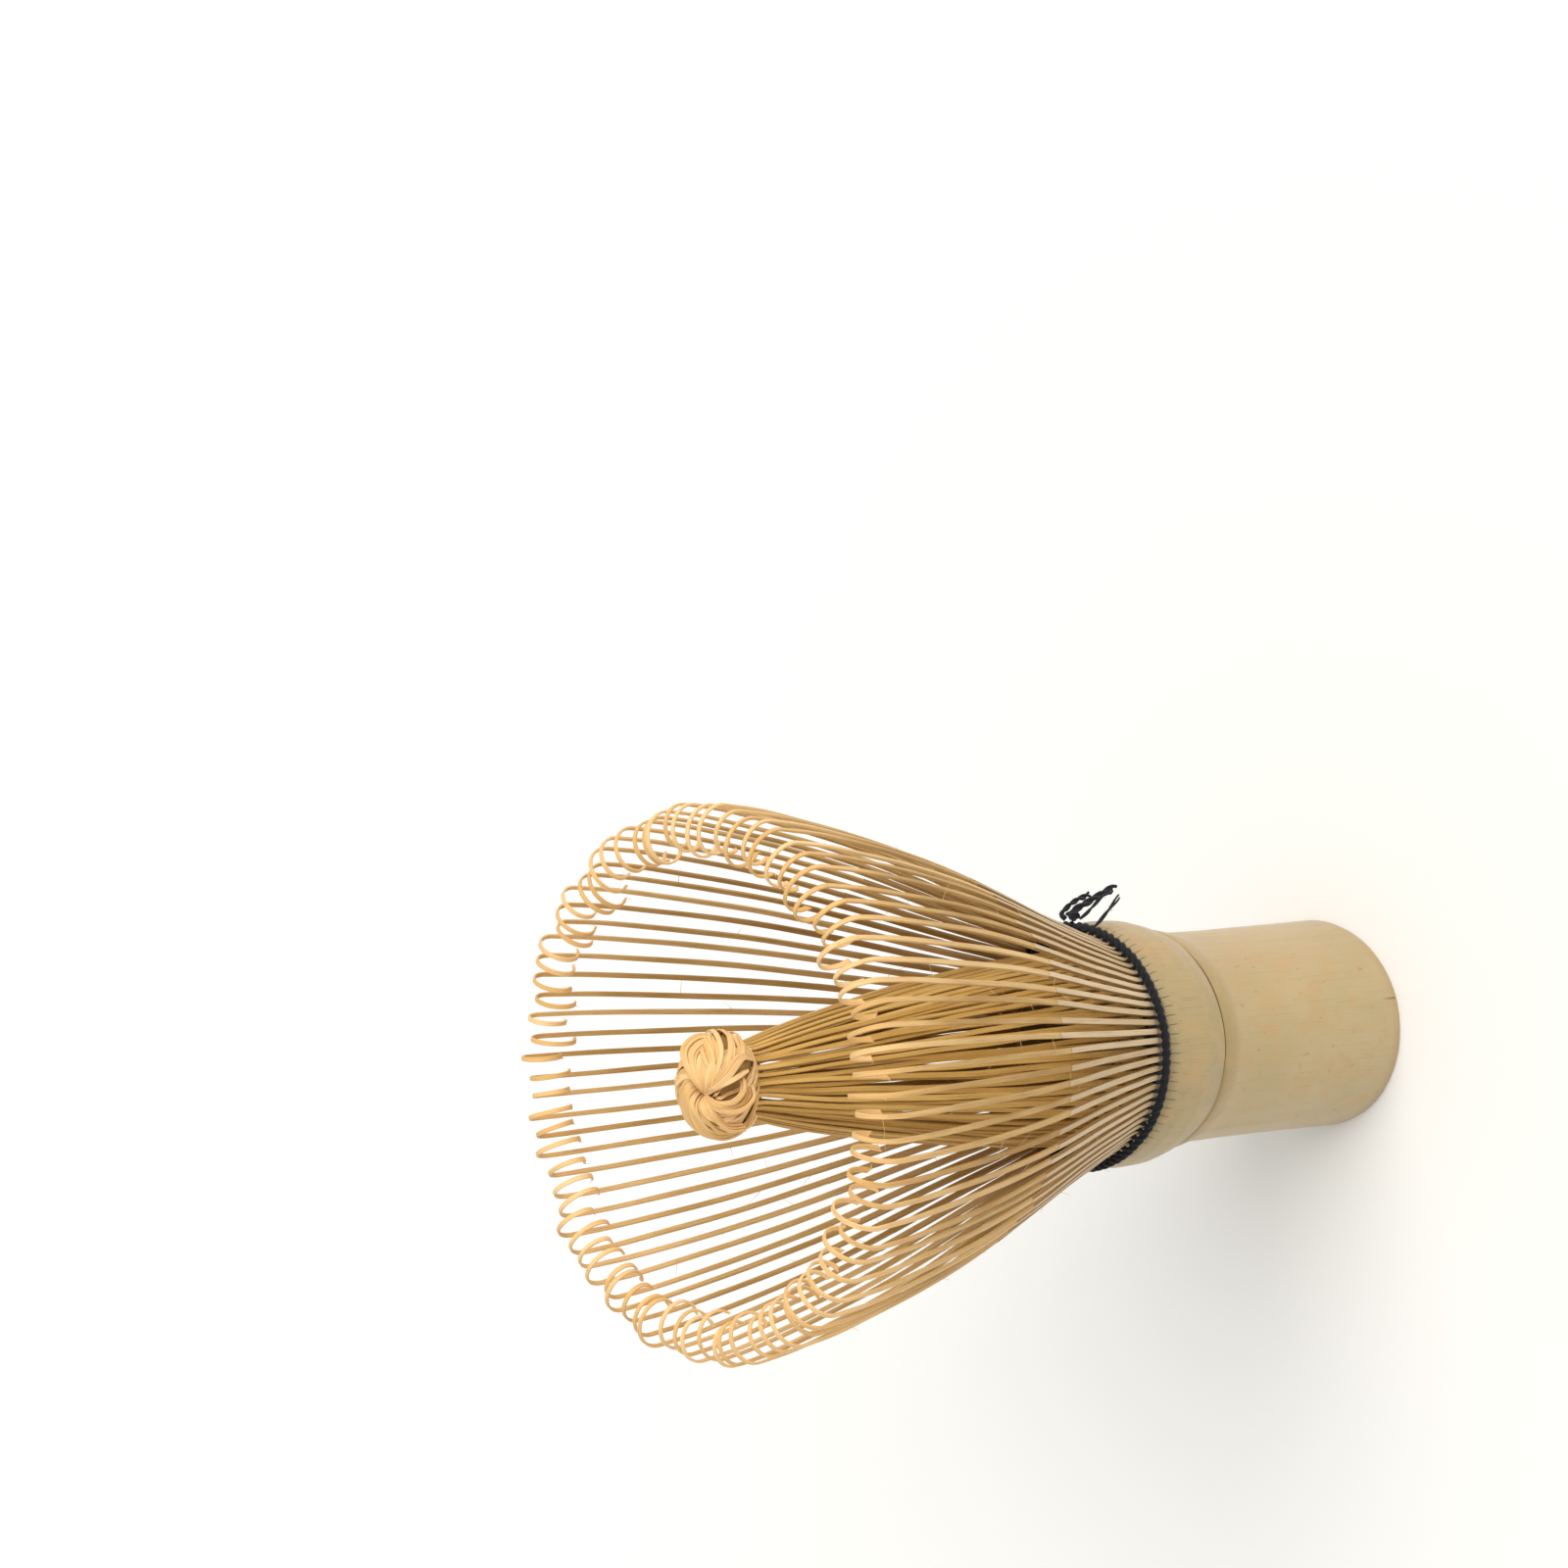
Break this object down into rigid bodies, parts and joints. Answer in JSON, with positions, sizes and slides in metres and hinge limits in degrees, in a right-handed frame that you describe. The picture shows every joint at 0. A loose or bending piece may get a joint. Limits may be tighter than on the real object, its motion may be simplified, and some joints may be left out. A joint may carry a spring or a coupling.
{
  "type": "bamboo tea whisk",
  "caption": "Bamboo tea whisk with flared outer tines curled in at the tips, a cone of inner tines ending in a knot, a black thread binding and a hollow handle.",
  "frame": {"origin": "centre of the handle's flat end, on the culm's axis, with the whisk standing on it", "axes": "+Z along the culm from the handle's end to the tips, +X towards the thread's tie knot"},
  "size_m": [0.0546, 0.0548, 0.0972],
  "materials": {
    "bamboo_culm": "satin natural bamboo skin",
    "bamboo_outer_tines": "satin, freshly cut bamboo",
    "bamboo_inner_tines": "matte, cut bamboo",
    "black_cotton": "matte twisted cotton"
  },
  "bodies": {
    "culm": {"handle_culm": "bamboo_culm", "inner_tines_01": "bamboo_inner_tines", "inner_tines_02": "bamboo_inner_tines", "inner_tines_03": "bamboo_inner_tines", "inner_tines_04": "bamboo_inner_tines", "inner_tines_05": "bamboo_inner_tines", "inner_tines_06": "bamboo_inner_tines", "inner_tines_07": "bamboo_inner_tines", "inner_tines_08": "bamboo_inner_tines", "inner_tines_09": "bamboo_inner_tines", "inner_tines_10": "bamboo_inner_tines", "inner_tines_11": "bamboo_inner_tines", "inner_tines_12": "bamboo_inner_tines", "inner_tines_13": "bamboo_inner_tines", "inner_tines_14": "bamboo_inner_tines", "inner_tines_15": "bamboo_inner_tines", "inner_tines_16": "bamboo_inner_tines", "tip_knot": "bamboo_outer_tines", "thread_outer_wrap": "black_cotton", "thread_inner_wrap": "black_cotton", "thread_tie_knot": "black_cotton", "thread_tail_1": "black_cotton", "thread_tail_2": "black_cotton", "thread_tail_3": "black_cotton", "thread_tail_4": "black_cotton"},
    "outer_split_01": {"outer_tines_01": "bamboo_outer_tines"},
    "outer_split_02": {"outer_tines_02": "bamboo_outer_tines"},
    "outer_split_03": {"outer_tines_03": "bamboo_outer_tines"},
    "outer_split_04": {"outer_tines_04": "bamboo_outer_tines"},
    "outer_split_05": {"outer_tines_05": "bamboo_outer_tines"},
    "outer_split_06": {"outer_tines_06": "bamboo_outer_tines"},
    "outer_split_07": {"outer_tines_07": "bamboo_outer_tines"},
    "outer_split_08": {"outer_tines_08": "bamboo_outer_tines"},
    "outer_split_09": {"outer_tines_09": "bamboo_outer_tines"},
    "outer_split_10": {"outer_tines_10": "bamboo_outer_tines"},
    "outer_split_11": {"outer_tines_11": "bamboo_outer_tines"},
    "outer_split_12": {"outer_tines_12": "bamboo_outer_tines"},
    "outer_split_13": {"outer_tines_13": "bamboo_outer_tines"},
    "outer_split_14": {"outer_tines_14": "bamboo_outer_tines"},
    "outer_split_15": {"outer_tines_15": "bamboo_outer_tines"},
    "outer_split_16": {"outer_tines_16": "bamboo_outer_tines"}
  },
  "joints": [
    {"name": "outer_split_01_flex", "type": "hinge", "parent": "culm", "child": "outer_split_01", "pos_m": [0.01197, 0.00238, 0.04165], "axis": [-0.1951, 0.9808, 0], "range_deg": [-2, 4], "stiffness_Nm_per_rad": 0.01},
    {"name": "outer_split_02_flex", "type": "hinge", "parent": "culm", "child": "outer_split_02", "pos_m": [0.01014, 0.00678, 0.04165], "axis": [-0.5556, 0.8315, 0], "range_deg": [-2, 4], "stiffness_Nm_per_rad": 0.01},
    {"name": "outer_split_03_flex", "type": "hinge", "parent": "culm", "child": "outer_split_03", "pos_m": [0.00678, 0.01014, 0.04165], "axis": [-0.8315, 0.5556, 0], "range_deg": [-2, 4], "stiffness_Nm_per_rad": 0.01},
    {"name": "outer_split_04_flex", "type": "hinge", "parent": "culm", "child": "outer_split_04", "pos_m": [0.00238, 0.01197, 0.04165], "axis": [-0.9808, 0.1951, 0], "range_deg": [-2, 4], "stiffness_Nm_per_rad": 0.01},
    {"name": "outer_split_05_flex", "type": "hinge", "parent": "culm", "child": "outer_split_05", "pos_m": [-0.00238, 0.01197, 0.04165], "axis": [-0.9808, -0.1951, 0], "range_deg": [-2, 4], "stiffness_Nm_per_rad": 0.01},
    {"name": "outer_split_06_flex", "type": "hinge", "parent": "culm", "child": "outer_split_06", "pos_m": [-0.00678, 0.01014, 0.04165], "axis": [-0.8315, -0.5556, 0], "range_deg": [-2, 4], "stiffness_Nm_per_rad": 0.01},
    {"name": "outer_split_07_flex", "type": "hinge", "parent": "culm", "child": "outer_split_07", "pos_m": [-0.01014, 0.00678, 0.04165], "axis": [-0.5556, -0.8315, 0], "range_deg": [-2, 4], "stiffness_Nm_per_rad": 0.01},
    {"name": "outer_split_08_flex", "type": "hinge", "parent": "culm", "child": "outer_split_08", "pos_m": [-0.01197, 0.00238, 0.04165], "axis": [-0.1951, -0.9808, 0], "range_deg": [-2, 4], "stiffness_Nm_per_rad": 0.01},
    {"name": "outer_split_09_flex", "type": "hinge", "parent": "culm", "child": "outer_split_09", "pos_m": [-0.01197, -0.00238, 0.04165], "axis": [0.1951, -0.9808, 0], "range_deg": [-2, 4], "stiffness_Nm_per_rad": 0.01},
    {"name": "outer_split_10_flex", "type": "hinge", "parent": "culm", "child": "outer_split_10", "pos_m": [-0.01014, -0.00678, 0.04165], "axis": [0.5556, -0.8315, 0], "range_deg": [-2, 4], "stiffness_Nm_per_rad": 0.01},
    {"name": "outer_split_11_flex", "type": "hinge", "parent": "culm", "child": "outer_split_11", "pos_m": [-0.00678, -0.01014, 0.04165], "axis": [0.8315, -0.5556, 0], "range_deg": [-2, 4], "stiffness_Nm_per_rad": 0.01},
    {"name": "outer_split_12_flex", "type": "hinge", "parent": "culm", "child": "outer_split_12", "pos_m": [-0.00238, -0.01197, 0.04165], "axis": [0.9808, -0.1951, 0], "range_deg": [-2, 4], "stiffness_Nm_per_rad": 0.01},
    {"name": "outer_split_13_flex", "type": "hinge", "parent": "culm", "child": "outer_split_13", "pos_m": [0.00238, -0.01197, 0.04165], "axis": [0.9808, 0.1951, 0], "range_deg": [-2, 4], "stiffness_Nm_per_rad": 0.01},
    {"name": "outer_split_14_flex", "type": "hinge", "parent": "culm", "child": "outer_split_14", "pos_m": [0.00678, -0.01014, 0.04165], "axis": [0.8315, 0.5556, 0], "range_deg": [-2, 4], "stiffness_Nm_per_rad": 0.01},
    {"name": "outer_split_15_flex", "type": "hinge", "parent": "culm", "child": "outer_split_15", "pos_m": [0.01014, -0.00678, 0.04165], "axis": [0.5556, 0.8315, 0], "range_deg": [-2, 4], "stiffness_Nm_per_rad": 0.01},
    {"name": "outer_split_16_flex", "type": "hinge", "parent": "culm", "child": "outer_split_16", "pos_m": [0.01197, -0.00238, 0.04165], "axis": [0.1951, 0.9808, 0], "range_deg": [-2, 4], "stiffness_Nm_per_rad": 0.01}
  ]
}
